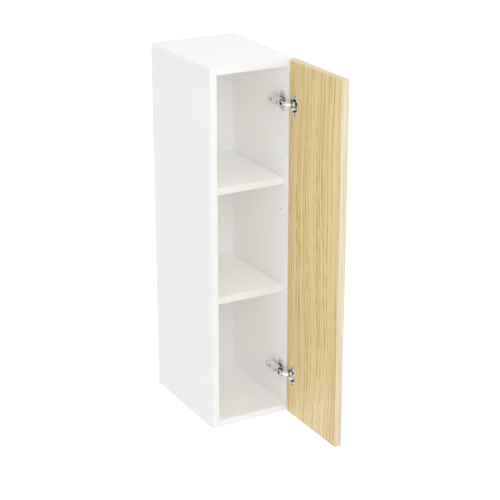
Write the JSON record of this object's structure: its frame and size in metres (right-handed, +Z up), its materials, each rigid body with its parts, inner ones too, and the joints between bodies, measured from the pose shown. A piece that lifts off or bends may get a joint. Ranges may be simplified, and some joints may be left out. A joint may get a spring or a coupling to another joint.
{
  "type": "hanging wall cabinet",
  "caption": "Narrow, tall hanging wall cabinet in white board with adjustable shelves and an oak-veneered door on concealed cup hinges.",
  "frame": {"origin": "on the wall plane, midway between the two wall screw holes near the top", "axes": "+X to the right as seen from the front, the front and its door face -Y, the wall is at +Y, +Z up"},
  "size_m": [0.2292, 0.5362, 0.9144],
  "materials": {
    "white_board": "satin white melamine on particle board",
    "white_back": "satin white lacquered hardboard",
    "white_band": "satin",
    "raw_board": "bare particle board",
    "dowel_wood": "bare beech",
    "oak_veneer": "satin lacquered oak veneer, grain upright",
    "oak_band": "satin lacquered pale oak edging",
    "hinge_nickel": "bright nickel plate",
    "screw_steel": "zinc plate"
  },
  "bodies": {
    "cabinet": {"side_panel_left": "white_board", "side_panel_right": "white_board", "top_panel": "white_board", "bottom_panel": "white_board", "back_panel": "white_back", "upper_hanging_rail": "raw_board", "lower_hanging_rail": "raw_board", "side_band_left": "white_band", "side_band_right": "white_band", "top_band": "white_band", "bottom_band": "white_band", "top_dowels": "dowel_wood", "bottom_dowels": "dowel_wood", "upper_rail_dowels": "dowel_wood", "lower_rail_dowels": "dowel_wood", "upper_shelf": "white_board", "lower_shelf": "white_board", "upper_shelf_band": "white_band", "lower_shelf_band": "white_band", "upper_shelf_pins": "hinge_nickel", "lower_shelf_pins": "hinge_nickel", "upper_hinge_plate": "hinge_nickel", "lower_hinge_plate": "hinge_nickel", "upper_hinge_arm": "hinge_nickel", "lower_hinge_arm": "hinge_nickel", "hinge_arm_pins": "screw_steel", "hinge_plate_screws": "screw_steel", "hinge_adjusting_screws": "screw_steel", "hinge_clamping_screws": "screw_steel", "hinge_springs": "screw_steel"},
    "long_links": {"upper_long_link": "hinge_nickel", "lower_long_link": "hinge_nickel"},
    "door": {"door_core": "raw_board", "door_inner_veneer": "oak_veneer", "door_outer_veneer": "oak_veneer", "door_band_free": "oak_band", "door_band_hinge": "oak_band", "door_band_top": "oak_band", "door_band_bottom": "oak_band", "upper_hinge_cup": "hinge_nickel", "lower_hinge_cup": "hinge_nickel", "hinge_cup_pins": "screw_steel", "hinge_cup_screws": "screw_steel"},
    "short_links": {"upper_short_link": "hinge_nickel", "lower_short_link": "hinge_nickel"}
  },
  "joints": [
    {"name": "door_swing", "type": "hinge", "parent": "long_links", "child": "door", "pos_m": [0.10246, -0.31856, 0], "axis": [0, 0, 1], "range_deg": [-102.68, 22.82]},
    {"name": "long_link_swing", "type": "hinge", "parent": "cabinet", "child": "long_links", "pos_m": [0.0803, -0.3048, 0], "axis": [0, 0, 1], "range_deg": [-2.83, 12.69]},
    {"name": "short_link_swing", "type": "hinge", "parent": "door", "child": "short_links", "pos_m": [0.09964, -0.31834, 0], "axis": [0, 0, 1], "range_deg": [-24.46, 110.03]}
  ],
  "couplings": [
    {"joint": "long_link_swing", "follows": "door_swing", "ratio": -0.12349},
    {"joint": "short_link_swing", "follows": "door_swing", "ratio": -1.0714}
  ]
}
